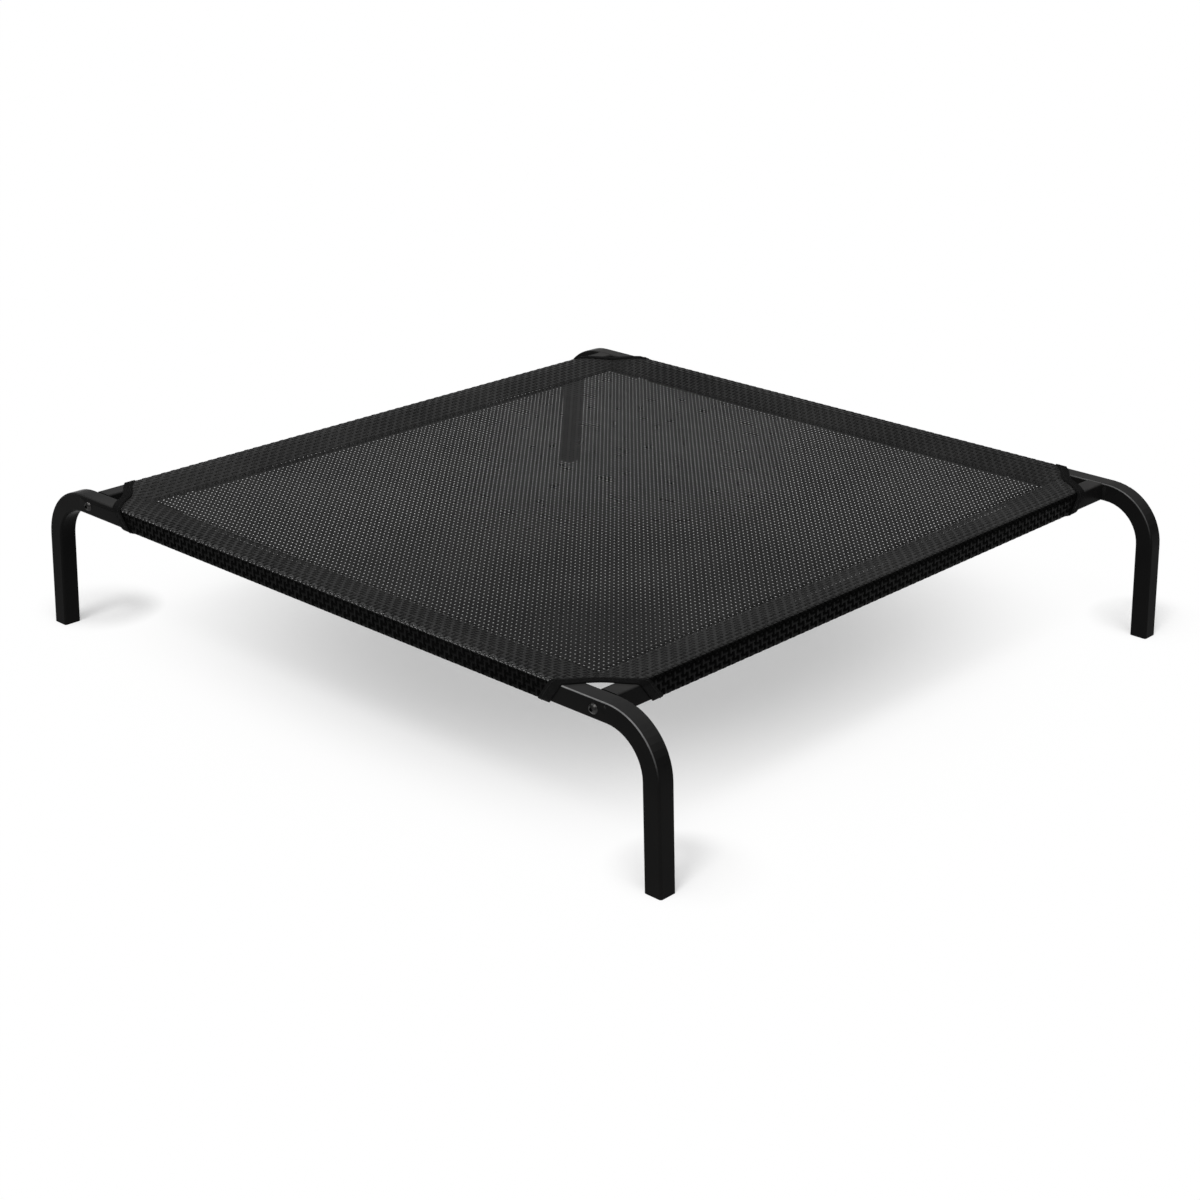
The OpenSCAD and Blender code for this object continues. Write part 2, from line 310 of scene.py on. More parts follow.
def crossings(pitch, reach):
    """Where the yarns of one direction lie, the same on both sides of the middle."""
    count = 2 * int(reach / pitch) + 2
    return (np.arange(count) - (count - 1) / 2) * pitch


def stations(lines, tube):
    """Where a yarn gets its rings: at each yarn that it crosses, and round the bends."""
    bends = np.concatenate([tube - BENDS, BENDS - tube])
    clear = np.abs(bends[:, None] - lines).min(1) > LEAST_STEP
    return np.sort(np.concatenate([lines, bends[clear]]))


def covered(x, y):
    """Whether a place on the flat pattern has cloth."""
    return (np.abs(x) < FLAT_X) & (np.abs(y) < FLAT_Y) & (cut_gap(x, y) > CUT_MARGIN)


def patched(x, y):
    """Whether a place on the flat pattern has a second layer under it."""
    tx, ty = RAIL_X - np.abs(x), BAR_Y - np.abs(y)
    near, far = np.minimum(tx, ty), np.maximum(tx, ty)
    inner = np.where(far < PATCH_FULL, SEAM_U, SEAM_U - PATCH_OFF_FLAP)
    hem = (near > TUBE_W / 2 + PATCH_OFF_TUBE) & (near < inner)
    return hem & (far < PATCH_REACH) & (cut_gap(x, y) > PATCH_OFF_CUT)


def yarns(along_y, shown=covered, shift=0.0, drop=0.0):
    """All the yarns of one direction, cut up by panel, as rings of four points.

    The yarns of a second layer are shifted along X by a share of the pitch, and lie lower.
    """
    lines_x = crossings(PITCH_X, FLAT_X) + shift * PITCH_X
    lines_y = crossings(PITCH_Y, FLAT_Y)
    at_x = lines_x if along_y else stations(lines_x, RAIL_X)
    at_y = stations(lines_y, BAR_Y) if along_y else lines_y
    x, y = np.meshgrid(at_x, at_y, indexing="ij" if along_y else "xy")
    order = (x - lines_x[0]) / PITCH_X + (y - lines_y[0]) / PITCH_Y
    lift = CRIMP * np.cos(math.pi * order) * (1 if along_y else -1) - drop
    half = YARN_SHARE * (PITCH_X if along_y else PITCH_Y) / 2
    dx, dy = (half, 0) if along_y else (0, -half)
    ring, flat = [], []
    for side, level in ((-1, 1), (1, 1), (1, -1), (-1, -1)):
        place, normal = fold(x + side * dx, y + side * dy)
        ring.append(place + normal * (lift + level * YARN_T / 2)[..., None])
        flat.append(np.stack([x + side * dx, y + side * dy], -1))
    inside = shown(x, y)
    panel = panel_of((x[:, 1:] + x[:, :-1]) / 2, (y[:, 1:] + y[:, :-1]) / 2)
    panel = np.where(inside[:, 1:] & inside[:, :-1], panel, 0)
    ring, flat = np.stack(ring, 2), np.stack(flat, 2)
    return {p: yarn_runs(ring, flat, panel == p) for p in PANEL_NUMBERS}


def yarn_runs(ring, flat, shown):
    """Closed tubes along the runs of shown steps between rings."""
    before = np.pad(shown, ((0, 0), (1, 0)))
    after = np.pad(shown, ((0, 0), (0, 1)))
    used = before | after
    number = np.where(used, np.cumsum(used.ravel()).reshape(used.shape) - 1, 0) * 4
    a, b = number[:, :-1][shown], number[:, 1:][shown]
    sides = [np.stack([a + k, a + (k + 1) % 4, b + (k + 1) % 4, b + k], 1) for k in range(4)]
    first, last = number[after & ~before], number[before & ~after]
    ends = [
        np.stack([first + 3, first + 2, first + 1, first], 1),
        np.stack([last, last + 1, last + 2, last + 3], 1),
    ]
    return ring[used].reshape(-1, 3), np.concatenate([*sides, *ends]), flat[used].reshape(-1, 2)


def crisp_edges(me):
    """Marks the edges along the yarns of the deck as sharp, because they are pulled flat there.

    The four points of a ring have numbers in a row.
    """
    ends = np.empty(2 * len(me.edges), np.int32)
    me.edges.foreach_get("vertices", ends)
    ring = ends.reshape(-1, 2) // 4
    sharp = me.attributes.new("sharp_edge", "BOOLEAN", "EDGE")
    sharp.data.foreach_set("value", ring[:, 0] != ring[:, 1])


def woven_piece(name, parts):
    """One panel of the cover, its width and length when flat, and the zone of each face.

    Zone 0 is the cloth on top, 1 rolls over the edge of a leg frame, and 2 hangs.
    """
    verts, quads, flat = joined(parts)
    low, high = flat.min(0), flat.max(0)
    ob = make_object(name, verts, quads, {"OFBake": (flat - low) / (high - low)})
    at = np.abs(flat[quads].mean(1))
    from_rail, from_bar = RAIL_X - at[:, 0], BAR_Y - at[:, 1]
    hangs = (from_bar < ROLL_END) | (from_rail < ROLL_START)
    zone = np.where(hangs, 2, from_bar < ROLL_START)
    return ob, high - low, zone.astype(np.int32)


layers = [yarns(along_y) for along_y in (True, False)]
layers += [yarns(along_y, patched, PATCH_SHIFT, PATCH_DROP) for along_y in (True, False)]
PANELS = {
    "mesh_deck": DECK,
    "sleeve_front": FRONT,
    "sleeve_rear": REAR,
    "sleeve_left": LEFT,
    "sleeve_right": RIGHT,
}
cloth = {}
for name, panel in PANELS.items():
    cloth[name] = woven_piece(f"woven_{name}", [made[panel] for made in layers])
crisp_edges(cloth["mesh_deck"][0].data)


# The binding tape at each cut corner
def tape_reach(corner):
    """How far the tape runs along a cut edge, from its middle to where it ends under a tube."""
    flap = -FLAP_END - CORNER
    return CUT_HALF + 2 * CUT_STEEP * flap + (CUT_PULL[corner] - 2 * TAPE_W) * math.sqrt(2)


def tape_outline():
    """The folded tape's outline: distance inwards from the cut edge, height over the cloth."""
    far = np.linspace(0, TAPE_W, TAPE_POINTS)
    turn = np.radians(np.linspace(90, 270, NOSE_POINTS)[1:-1])
    nose_r = 0.5 * (TAPE_OUT + TAPE_UNDER)
    nose_mid = 0.5 * (TAPE_OUT - TAPE_UNDER)
    nose = [(nose_r * math.cos(a), nose_mid + nose_r * math.sin(a)) for a in turn]
    gap = [(TAPE_GRIP * math.cos(a), TAPE_GRIP * math.sin(a)) for a in turn]
    outline = [(e, TAPE_OUT) for e in far[::-1]] + nose + [(e, -TAPE_UNDER) for e in far]
    outline += [(e, -TAPE_GRIP) for e in far[::-1]] + gap[::-1] + [(e, TAPE_GRIP) for e in far]
    return np.array(outline)


def swept(verts):
    """Faces round a sweep of rings. verts is (rings, points in a ring, 3)."""
    rings, size = verts.shape[:2]
    at = np.arange(rings * size).reshape(rings, size)
    a, b = at[:-1], at[1:]
    quads = np.stack([a, np.roll(a, -1, 1), np.roll(b, -1, 1), b], -1).reshape(-1, 4)
    return at, quads


def tape(corner):
    """The folded tape along one cut edge, closed at both ends."""
    outline = tape_outline()
    reach = tape_reach(corner)
    along = np.linspace(-reach, reach, int(2 * reach / math.sqrt(2) / TAPE_STEP))
    x, y = cut_line(corner, along[:, None], outline[None, :, 0])
    place, normal = fold(x, y)
    verts = place + normal * outline[None, :, 1:2]
    at, quads = swept(verts)
    size = len(outline)
    half = size // 2
    ends = []
    for row, turn in ((at[0], 1), (at[-1], -1)):
        for k in range(half - 1):
            ends.append([row[k], row[k + 1], row[size - 2 - k], row[size - 1 - k]][::turn])
    quads = np.concatenate([quads, np.array(ends)])
    if math.prod(CORNERS[corner]) > 0:
        quads = quads[:, ::-1]
    uv = np.stack(np.broadcast_arrays(along[:, None], outline[None, :, 0]), -1)
    maps = {"tape": uv.reshape(-1, 2)}
    ob = make_object(f"woven_binding_{corner}", verts.reshape(-1, 3), quads, maps)
    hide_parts(f"corner_binding_{corner}")
    return ob


bindings = {corner: tape(corner) for corner in CORNERS}


# Stitches: short loops of thread that rise out of the cloth and go back into it
def stitch_row(course, base, pitch):
    """A row of stitches along course, a line of places on the flat cover, base above the cloth."""
    course = np.array(course)
    along = np.concatenate([[0], np.cumsum(np.linalg.norm(np.diff(course, axis=0), axis=1))])
    count = int(along[-1] / pitch)
    middle = (np.arange(count) + 0.5) * along[-1] / count
    at = middle[:, None] + STITCH_SPREAD
    x, y = (np.interp(at, along, course[:, k]) for k in (0, 1))
    place, normal = fold(x, y)
    centre = place + normal * (base + STITCH_RISE)[:, None]
    way_x, way_y = x[:, -1:] - x[:, :1], y[:, -1:] - y[:, :1]
    length = np.hypot(way_x, way_y) / THREAD_R
    sideways = fold(x - way_y / length, y + way_x / length)[0] - place
    angle = np.arange(THREAD_SIDES) * math.tau / THREAD_SIDES
    ring = (sideways[:, :, None] * np.cos(angle)[:, None]
            + THREAD_R * normal[:, :, None] * np.sin(angle)[:, None])
    return centre[:, :, None] + ring


def stitch_object(name, rows):
    """Rows of six-sided stitches, closed at both ends, as one object."""
    verts = np.concatenate(rows)
    count, rings, size = verts.shape[:3]
    at = np.arange(count * rings * size).reshape(count, rings, size)
    a, b = at[:, :-1], at[:, 1:]
    quads = np.stack([a, b, np.roll(b, -1, 2), np.roll(a, -1, 2)], -1).reshape(-1, 4)
    ends = [at[:, 0][:, [0, 1, 2, 3]], at[:, 0][:, [0, 3, 4, 5]]]
    ends += [at[:, -1][:, [3, 2, 1, 0]], at[:, -1][:, [5, 4, 3, 0]]]
    quads = np.concatenate([quads, *ends])
    ob = make_object(name, verts.reshape(-1, 3), quads)
    return ob


# The hem is sewn this far outside the seam's line
SEW_IN = 2.5 * MM
seam_x = RAIL_X - SEAM_U + SEW_IN
seam_y = BAR_Y - SEAM_U + SEW_IN
CLOTH_TOP = CRIMP + YARN_T / 2
hem_corners = [(-seam_x, -seam_y), (seam_x, -seam_y), (seam_x, seam_y), (-seam_x, seam_y)]
hem_sides = zip(hem_corners, hem_corners[1:] + hem_corners[:1])
hem_rows = [stitch_row(side, CLOTH_TOP, HEM_PITCH) for side in hem_sides]
hem_stitches = stitch_object("hem_stitches", hem_rows)

# The stitches of the tape run this far in from its edge, and stop short of its ends
EDGE_IN = 6.3 * MM
END_GAP = 5 * MM


def tape_row(corner):
    """The stitches along the tape of one corner."""
    reach = tape_reach(corner) - END_GAP
    course = np.stack(cut_line(corner, np.arange(-reach, reach, TAPE_STEP), EDGE_IN), -1)
    return stitch_row(course, TAPE_OUT, TAPE_PITCH)


tape_stitches = {c: stitch_object(f"binding_stitches_{c}", [tape_row(c)]) for c in CORNERS}


# Materials. Most of a noise texture lies between these two values
NOISE_LOW, NOISE_HIGH = 0.3, 0.7


class Look:
    """A material with one Principled shader, and short calls for the nodes that drive it."""

    def __init__(self, name, **values):
        self.material = bpy.data.materials.new(name)
        self.material.use_nodes = True
        self.tree = self.material.node_tree
        self.shader = self.tree.nodes["Principled BSDF"]
        self.place = self.node("ShaderNodeTexCoord").outputs["Object"]
        for socket, value in values.items():
            self.shader.inputs[socket.replace("_", " ")].default_value = value

    def node(self, kind, **settings):
        made = self.tree.nodes.new(kind)
        for key, value in settings.items():
            setattr(made, key, value)
        return made

    def link(self, source, target):
        self.tree.links.new(source, target)

    def noise(self, scale, detail=2.0, rough=0.5, stretch=(1, 1, 1)):
        """A noise over the object's own coordinates, which stretch multiplies."""
        tex = self.node("ShaderNodeTexNoise")
        tex.inputs["Scale"].default_value = scale
        tex.inputs["Detail"].default_value = detail
        tex.inputs["Roughness"].default_value = rough
        if stretch == (1, 1, 1):
            self.link(self.place, tex.inputs["Vector"])
        else:
            spread = self.node("ShaderNodeMapping")
            spread.inputs["Scale"].default_value = stretch
            self.link(self.place, spread.inputs["Vector"])
            self.link(spread.outputs["Vector"], tex.inputs["Vector"])
        return tex.outputs["Fac"]

    def ramp(self, factor, dark, light, low=0.35, high=0.65):
        """A colour from dark to light, as the factor goes from low to high."""
        made = self.node("ShaderNodeValToRGB")
        made.color_ramp.elements[0].position = low
        made.color_ramp.elements[1].position = high
        made.color_ramp.elements[0].color = (*dark, 1)
        made.color_ramp.elements[1].color = (*light, 1)
        self.link(factor, made.inputs["Fac"])
        return made.outputs["Color"]

    def range(self, factor, low, high):
        """A value from low to high, as a noise goes through most of its values."""
        made = self.node("ShaderNodeMapRange")
        made.inputs["From Min"].default_value = NOISE_LOW
        made.inputs["From Max"].default_value = NOISE_HIGH
        made.inputs["To Min"].default_value = low
        made.inputs["To Max"].default_value = high
        self.link(factor, made.inputs["Value"])
        return made.outputs["Result"]

    def fade(self, source, start, end, low=0.0, high=1.0):
        """A smooth step from low to high, as the source goes from start to end."""
        made = self.node("ShaderNodeMapRange", interpolation_type="SMOOTHSTEP")
        made.inputs["From Min"].default_value = start
        made.inputs["From Max"].default_value = end
        made.inputs["To Min"].default_value = low
        made.inputs["To Max"].default_value = high
        self.link(source, made.inputs["Value"])
        return made.outputs["Result"]

    def blend(self, factor, first, second):
        """The first colour where the factor is 0, and the second where it is 1."""
        made = self.node("ShaderNodeMix", data_type="RGBA")
        self.link(factor, made.inputs["Factor"])
        self.link(first, made.inputs["A"])
        self.link(second, made.inputs["B"])
        return next(s for s in made.outputs if s.type == "RGBA")

    def bump(self, height, strength, distance):
        """Normals for a surface that rises by this distance where the height is 1."""
        made = self.node("ShaderNodeBump")
        made.inputs["Strength"].default_value = strength
        made.inputs["Distance"].default_value = distance
        self.link(height, made.inputs["Height"])
        return made.outputs["Normal"]

    def set(self, **sources):
        """Links each source to the shader's socket of that name."""
        for socket, source in sources.items():
            self.link(source, self.shader.inputs[socket.replace("_", " ")])


def grey(value, warm=0.0):
    """A grey, made a little warmer by a share of itself."""
    return (value * (1 + warm), value, value * (1 - warm))


paint = Look("frame_paint", Specular_IOR_Level=0.012)

# The bend of a leg frame, in its own plane, and the painted highlight along its edge
BEND_R = 62.5 * MM
BEND_PAST_RAIL = 4.4 * MM
BEND_X = RAIL_X + TUBE_W / 2 + BEND_PAST_RAIL
BEND_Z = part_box("leg_frame_rear")[1][2] - BEND_R
LINE_W = 1.3 * MM
LINE_FULL_W = 0.4 * LINE_W
LINE_END_Z = 0.1 * BEND_R
LINE_START_X = 0.5 * BEND_X
REAR_LINE = 0.5


def painted_bend_highlight(look):
    """1 along the upper -Y edges of the tubes at the +X bends, where a pale highlight is painted
    into the colour.
    """
    def calc(operation, *sources):
        made = look.node("ShaderNodeMath", operation=operation)
        for slot, source in enumerate(sources):
            if isinstance(source, float):
                made.inputs[slot].default_value = source
            else:
                look.link(source, made.inputs[slot])
        return made.outputs[0]

    fade = look.fade
    spot = look.node("ShaderNodeSeparateXYZ")
    look.link(look.place, spot.inputs[0])
    x, y, z = (spot.outputs[k] for k in "XYZ")
    past = calc("MAXIMUM", calc("SUBTRACT", x, BEND_X), 0.0)
    above = calc("SUBTRACT", z, BEND_Z)
    radius = calc("SQRT", calc("ADD", calc("MULTIPLY", past, past), calc("MULTIPLY", above, above)))
    below_top = calc("SUBTRACT", BEND_R, radius)
    off_bar = calc("MULTIPLY", calc("SIGN", y), calc("SUBTRACT", calc("ABSOLUTE", y), BAR_Y))
    behind_front = calc("ADD", off_bar, TUBE_W / 2)
    off_edge = calc("ABSOLUTE", calc("SUBTRACT", below_top, behind_front))
    across_line = fade(off_edge, LINE_W, LINE_FULL_W)
    line = calc("MULTIPLY", across_line, fade(below_top, 2 * TUBE_R, TUBE_R))
    reach = calc("MULTIPLY", fade(above, LINE_END_Z, BEND_R), fade(x, 0.0, LINE_START_X))
    patchy = look.range(look.noise(scale=60, detail=3), low=0.7, high=1.0)
    # The painted highlight is patchy, and weaker towards the rear frame
    highlight_strength = calc("MULTIPLY", patchy, fade(y, BAR_Y, -BAR_Y, low=REAR_LINE))
    return calc("MULTIPLY", calc("MULTIPLY", line, reach), highlight_strength)


def facing_up(look):
    """1 where a surface faces up, falling to 0 on upright ones."""
    apart = look.node("ShaderNodeSeparateXYZ")
    look.link(look.node("ShaderNodeNewGeometry").outputs["True Normal"], apart.inputs[0])
    return look.fade(apart.outputs["Z"], start=0.3, end=1.0)


# Faces that look up are paler: partly dust, and partly a painted sheen that stands in for the
# reflection their tops catch
dust_and_sheen_paint = paint.blend(
    facing_up(paint),
    paint.ramp(paint.noise(scale=7, detail=3), grey(0.006), grey(0.009, warm=0.02)),
    paint.ramp(paint.noise(scale=18, detail=4), grey(0.025), grey(0.033, warm=0.02)),
)
# The colour: dust and a painted sheen on faces that look up, and a pale painted highlight along the
# upper edges at the +X bends
paint.set(
    Base_Color=paint.blend(
        painted_bend_highlight(paint),
        dust_and_sheen_paint,
        paint.ramp(paint.noise(scale=30, detail=3), grey(0.18), grey(0.26)),
    ),
    Roughness=paint.range(paint.noise(scale=22, detail=4, rough=0.6), low=0.20, high=0.28),
    Normal=paint.bump(paint.noise(scale=900, detail=2), strength=0.06, distance=0.0002),
)

steel = Look("plug_steel", Metallic=1.0)
steel.set(
    Base_Color=steel.ramp(steel.noise(scale=60, detail=3), (0.40, 0.41, 0.43), (0.52, 0.53, 0.54)),
    Roughness=steel.range(
        steel.noise(scale=300, detail=4, rough=0.6, stretch=(8, 1, 1)),
        low=0.25,
        high=0.45,
    ),
    Normal=steel.bump(steel.noise(scale=1200, detail=2), strength=0.1, distance=0.0001),
)

oxide = Look("bolt_black", Metallic=1.0)
oxide.set(
    Base_Color=oxide.ramp(oxide.noise(scale=350, detail=3), grey(0.030), grey(0.055, warm=0.03)),
    Roughness=oxide.range(oxide.noise(scale=500, detail=3), low=0.32, high=0.46),
    Normal=oxide.bump(oxide.noise(scale=2500, detail=2), strength=0.1, distance=0.0001),
)

plastic = Look("foot_plastic", Specular_IOR_Level=0.3)
plastic.set(
    Base_Color=plastic.ramp(plastic.noise(scale=90, detail=3), grey(0.008), grey(0.014)),
    Roughness=plastic.range(plastic.noise(scale=200, detail=3), low=0.45, high=0.62),
    Normal=plastic.bump(plastic.noise(scale=1800, detail=3), strength=0.2, distance=0.0002),
)


def vinyl(name, dark, gloss, sheen, rough):
    """Coated yarn, with its darkest colour, its gloss, its sheen and its least roughness."""
    look = Look(name, Specular_IOR_Level=gloss, Sheen_Weight=sheen, Sheen_Roughness=0.4)
    look.set(
        Base_Color=look.blend(
            look.noise(scale=900, detail=2),
            look.ramp(look.noise(scale=9, detail=3), grey(dark), grey(dark * 1.5, warm=0.01)),
            look.ramp(look.noise(scale=9, detail=3), grey(dark * 1.4), grey(dark * 2.2, warm=0.01)),
        ),
        Roughness=look.range(look.noise(scale=45, detail=3), low=rough, high=rough + 0.08),
        Normal=look.bump(look.noise(scale=1600, detail=2), strength=0.15, distance=0.0002),
    )
    return look


deck_yarn = vinyl("mesh", dark=0.0083, gloss=0.03, sheen=0.02, rough=0.26)

# The yarns of a sleeve: on top of a leg frame, on top of a rail, polished where they roll over
# the edge of a leg frame, and where they hang. It is the deck's cloth, but on top its colour is
# painted paler than the deck's, most over a rail, as painted light, and where it hangs it is
# painted much darker, as painted shade
hem_yarn_painted_paler = vinyl("mesh_hem_painted_paler", dark=0.0108, gloss=0.03, sheen=0.02, rough=0.26)
side_hem_yarn_painted_paler = vinyl("mesh_side_hem_painted_paler", dark=0.0142, gloss=0.03, sheen=0.02, rough=0.26)
roll_yarn = vinyl("mesh_roll", dark=0.0072, gloss=0.5, sheen=0.0, rough=0.20)
# Painted shade: the hanging cloth gets a much darker copy of the yarn's colour
hang_yarn_painted_shade = vinyl("mesh_hang_painted_shade", dark=0.0013, gloss=0.01, sheen=0.0, rough=0.26)
PANEL_YARNS = {
    "mesh_deck": [deck_yarn],
    "sleeve_front": [hem_yarn_painted_paler, roll_yarn, hang_yarn_painted_shade],
    "sleeve_rear": [hem_yarn_painted_paler, roll_yarn, hang_yarn_painted_shade],
    "sleeve_left": [side_hem_yarn_painted_paler, roll_yarn, hang_yarn_painted_shade],
    "sleeve_right": [side_hem_yarn_painted_paler, roll_yarn, hang_yarn_painted_shade],
}

webbing = Look("binding_tape", Specular_IOR_Level=0.06)
ribs = webbing.node("ShaderNodeTexWave", bands_direction="X")
ribs.inputs["Scale"].default_value = 220
ribs.inputs["Distortion"].default_value = 0.6
webbing.link(webbing.node("ShaderNodeUVMap", uv_map="tape").outputs["UV"], ribs.inputs["Vector"])
webbing.set(
    Base_Color=webbing.ramp(webbing.noise(scale=1400, detail=2), grey(0.002), grey(0.005)),
    Roughness=webbing.range(webbing.noise(scale=500, detail=2), low=0.65, high=0.85),
    Normal=webbing.bump(ribs.outputs["Fac"], strength=0.5, distance=0.0003),
)

thread = Look("thread", Specular_IOR_Level=0.1)
thread.set(
    Base_Color=thread.ramp(thread.noise(scale=2500, detail=2), grey(0.007), grey(0.016)),
    Roughness=thread.range(thread.noise(scale=1500, detail=2), low=0.5, high=0.7),
    Normal=thread.bump(thread.noise(scale=3500, detail=2), strength=0.4, distance=0.0001),
)


def dress(ob, *looks):
    """Gives an object these looks in its material slots."""
    ob.data.materials.clear()
    for look in looks:
        ob.data.materials.append(look.material)


LOOKS = {
    "leg_frame": paint,
    "side_rail": paint,
    "nut_plug": steel,
    "corner_bolt": oxide,
    "foot_plug": plastic,
}
for name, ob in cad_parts.items():
    for start, look in LOOKS.items():
        if name.startswith(start):
            dress(ob, look)
for name, (ob, _, zone) in cloth.items():
    dress(ob, *PANEL_YARNS[name])
    if name != "mesh_deck":
        ob.data.polygons.foreach_set("material_index", zone)
for ob in bindings.values():
    dress(ob, webbing)
for ob in [hem_stitches, *tape_stitches.values()]:
    dress(ob, thread)


def flat_area(panel):
    """A panel's flat area with its second layers, counted in cells of the weave."""
    x, y = np.meshgrid(crossings(PITCH_X, FLAT_X), crossings(PITCH_Y, FLAT_Y))
    cells = (panel_of(x, y) == panel) * (covered(x, y).astype(int) + patched(x, y))
    return cells.sum() * PITCH_X * PITCH_Y


for name, panel in PANELS.items():
    ob, (width, length), _ = cloth[name]
    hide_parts(name)
    min(flat_area(panel), width * length)


# Floor and light. The shares of the floor's light, from the sky and the lamps, add up to about 1
SKY = 0.17
FLOOR_ALBEDO = 0.8
FLOOR_HALF = 60.0
FLOOR_Z = -0.2 * MM
LAMP_AWAY = 3

# How strongly the floor shows shadow: under the middle of the deck, round that, at its edges,
# and round the feet, and the distances over which that fades
SHADE_MIDDLE = 1.0
SHADE_ROUND = 0.6
SHADE_EDGE = 0.03
SHADE_FEET = 0.75
MIDDLE_TO = 0.3
SHADE_FROM, SHADE_TO = 0.2, 0.57
FEET_FROM, FEET_TO = 0.085, 0.035

# The shade round each foot lies a little to one side of it
BESIDE_FOOT = (-0.012, 0.05, 0)
foot_low, foot_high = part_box("foot_plug_rear_right")
FOOT = [(low + high) / 2 for low, high in zip(foot_low[:2], foot_high[:2])]


def make_world():
    """An even sky that lights the cot faintly, and looks white behind it."""
    world = bpy.data.worlds.new("studio")
    world.use_nodes = True
    tree = world.node_tree
    path = tree.nodes.new("ShaderNodeLightPath")
    strength = tree.nodes.new("ShaderNodeMath")
    strength.operation = "MAXIMUM"
    strength.inputs[1].default_value = SKY
    tree.links.new(path.outputs["Is Camera Ray"], strength.inputs[0])
    back = tree.nodes["Background"]
    back.inputs["Color"].default_value = (1, 1, 1, 1)
    tree.links.new(strength.outputs[0], back.inputs["Strength"])
    bpy.context.scene.world = world


def seen_ray(tree):
    """1 for rays that show the background: from the camera, off gloss and through glass."""
    path = tree.nodes.new("ShaderNodeLightPath")
    first = tree.nodes.new("ShaderNodeMath")
    second = tree.nodes.new("ShaderNodeMath")
    first.operation = second.operation = "MAXIMUM"
    tree.links.new(path.outputs["Is Camera Ray"], first.inputs[0])
    tree.links.new(path.outputs["Is Glossy Ray"], first.inputs[1])
    tree.links.new(first.outputs[0], second.inputs[0])
    tree.links.new(path.outputs["Is Transmission Ray"], second.inputs[1])
    return second.outputs[0]


def make_floor():
    """A pale floor that looks white, with a light shadow. It is clear from below."""
    h = FLOOR_HALF
    me = bpy.data.meshes.new("floor")
    me.from_pydata([(-h, -h, 0), (h, -h, 0), (h, h, 0), (-h, h, 0)], [], [(0, 1, 2, 3)])
    ob = bpy.data.objects.new("floor", me)
    ob.location.z = FLOOR_Z
    bpy.context.scene.collection.objects.link(ob)
    mat = bpy.data.materials.new("floor")
    mat.use_nodes = True
    tree = mat.node_tree
    tree.nodes.remove(tree.nodes["Principled BSDF"])

    def shader(kind, *sources, **values):
        made = tree.nodes.new(kind)
        for slot, source in enumerate(sources):
            tree.links.new(source, made.inputs[slot])
        for socket, value in values.items():
            made.inputs[socket].default_value = value
        return made.outputs[0]

    def math_node(operation, *sources):
        made = tree.nodes.new("ShaderNodeMath")
        made.operation = operation
        for slot, source in enumerate(sources):
            tree.links.new(source, made.inputs[slot])
        return made.outputs[0]

    def fade(source, start, end, low, high):
        made = tree.nodes.new("ShaderNodeMapRange")
        made.interpolation_type = "SMOOTHSTEP"
        made.inputs["From Min"].default_value = start
        made.inputs["From Max"].default_value = end
        made.inputs["To Min"].default_value = low
        made.inputs["To Max"].default_value = high
        tree.links.new(source, made.inputs["Value"])
        return made.outputs["Result"]

    spot = tree.nodes.new("ShaderNodeNewGeometry").outputs["Position"]
    length = tree.nodes.new("ShaderNodeVectorMath")
    length.operation = "LENGTH"
    tree.links.new(spot, length.inputs[0])
    middle = fade(length.outputs["Value"], 0, MIDDLE_TO, SHADE_MIDDLE, 0)
    around = fade(length.outputs["Value"], SHADE_FROM, SHADE_TO, SHADE_ROUND, SHADE_EDGE)
    from_foot = tree.nodes.new("ShaderNodeVectorMath")
    from_foot.operation = "DISTANCE"
    beside = tree.nodes.new("ShaderNodeVectorMath")
    beside.operation = "SUBTRACT"
    beside.inputs[1].default_value = BESIDE_FOOT
    tree.links.new(spot, beside.inputs[0])
    quarter = tree.nodes.new("ShaderNodeVectorMath")
    quarter.operation = "ABSOLUTE"
    tree.links.new(beside.outputs[0], quarter.inputs[0])
    tree.links.new(quarter.outputs[0], from_foot.inputs[0])
    from_foot.inputs[1].default_value = (*FOOT, 0)
    feet = fade(from_foot.outputs["Value"], FEET_FROM, FEET_TO, 0, SHADE_FEET)
    shown = math_node("MAXIMUM", math_node("MAXIMUM", middle, around), feet)

    pale = shader("ShaderNodeBsdfDiffuse", Color=(*[FLOOR_ALBEDO] * 3, 1))
    shade = shader("ShaderNodeBsdfDiffuse", Color=(1, 1, 1, 1))
    lift = shader("ShaderNodeEmission", Strength=1)
    white = shader("ShaderNodeMixShader", shown, lift, shade)
    seen = shader("ShaderNodeMixShader", seen_ray(tree), pale, white)
    clear = shader("ShaderNodeBsdfTransparent")
    below = tree.nodes.new("ShaderNodeNewGeometry").outputs["Backfacing"]
    both = shader("ShaderNodeMixShader", below, seen, clear)
    tree.links.new(both, tree.nodes["Material Output"].inputs["Surface"])
    me.materials.append(mat)


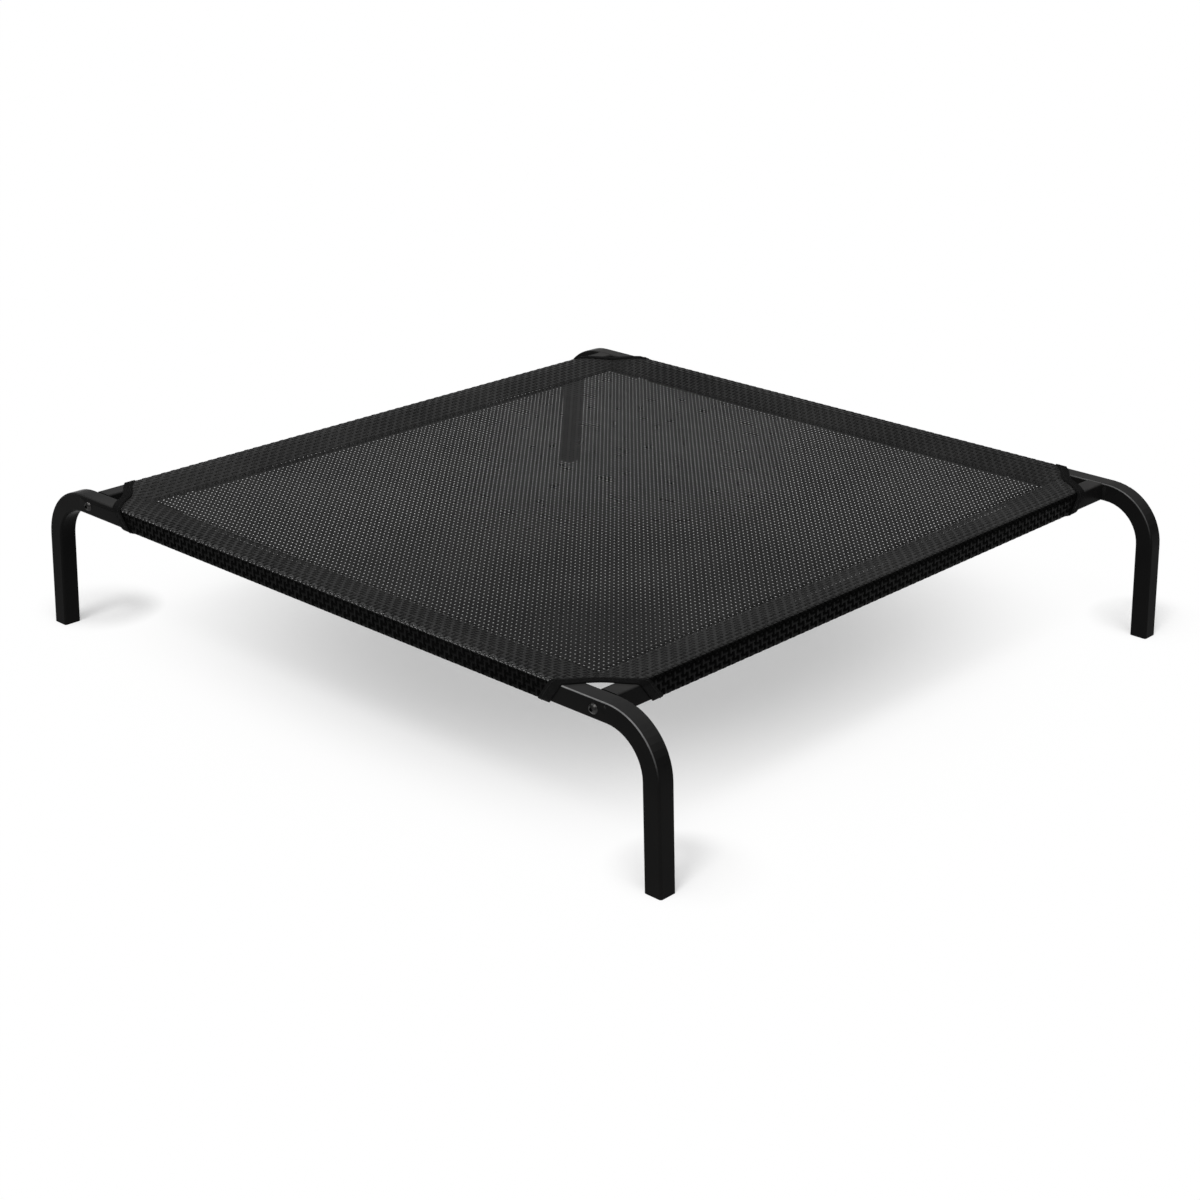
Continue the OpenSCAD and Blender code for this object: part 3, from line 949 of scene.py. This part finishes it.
def sun(name, azimuth, elevation, width, share, shadow=True):
    """A far soft lamp with its share of the floor's light. Azimuth 0 stands at -Y, 90 at +X."""
    a, e = math.radians(azimuth), math.radians(elevation)
    way = Vector((math.sin(a) * math.cos(e), -math.cos(a) * math.cos(e), math.sin(e)))
    lamp = bpy.data.lights.new(name, "SUN")
    lamp.angle = math.radians(width)
    lamp.energy = share * math.pi / math.sin(e)
    lamp.use_shadow = shadow
    ob = bpy.data.objects.new(name, lamp)
    ob.location = way * LAMP_AWAY
    ob.rotation_mode = "QUATERNION"
    ob.rotation_quaternion = way.to_track_quat("Z", "Y")
    bpy.context.scene.collection.objects.link(ob)


make_world()
make_floor()
sun("overhead", azimuth=43, elevation=64, width=60, share=0.50)
sun("key", azimuth=14, elevation=57, width=14, share=0.20)
sun("side", azimuth=-59, elevation=43, width=8, share=0.12, shadow=False)
sun("back", azimuth=234, elevation=20, width=50, share=0.015)


# Camera at the photograph's viewing angle
CAMERA_AZIMUTH = 42.6614
CAMERA_ELEVATION = 21.8534
CAMERA_ROLL = 0.7306
CAMERA_DISTANCE = 2.46979
CAMERA_ASIDE = -0.005553
CAMERA_RAISE = 0.030600
CAMERA_LENS = 66.5323
CAMERA_SENSOR = 36
CAMERA_CLIP = 0.05, 200


def make_camera():
    """The camera, aimed past the middle of the floor by its offsets."""
    a = math.radians(CAMERA_AZIMUTH)
    e = math.radians(CAMERA_ELEVATION)
    r = math.radians(CAMERA_ROLL)
    back = Vector((math.sin(a) * math.cos(e), -math.cos(a) * math.cos(e), math.sin(e)))
    level_right = Vector((math.cos(a), math.sin(a), 0))
    level_up = back.cross(level_right)
    right = level_right * math.cos(r) + level_up * math.sin(r)
    up = level_up * math.cos(r) - level_right * math.sin(r)
    data = bpy.data.cameras.new("camera")
    data.sensor_width = CAMERA_SENSOR
    data.lens = CAMERA_LENS
    data.clip_start, data.clip_end = CAMERA_CLIP
    ob = bpy.data.objects.new("camera", data)
    place = back * CAMERA_DISTANCE + right * CAMERA_ASIDE + up * CAMERA_RAISE
    ob.matrix_world = Matrix.Translation(place) @ Matrix((right, up, back)).transposed().to_4x4()
    bpy.context.scene.collection.objects.link(ob)
    bpy.context.scene.camera = ob


make_camera()
bpy.context.scene.view_settings.view_transform = "Standard"
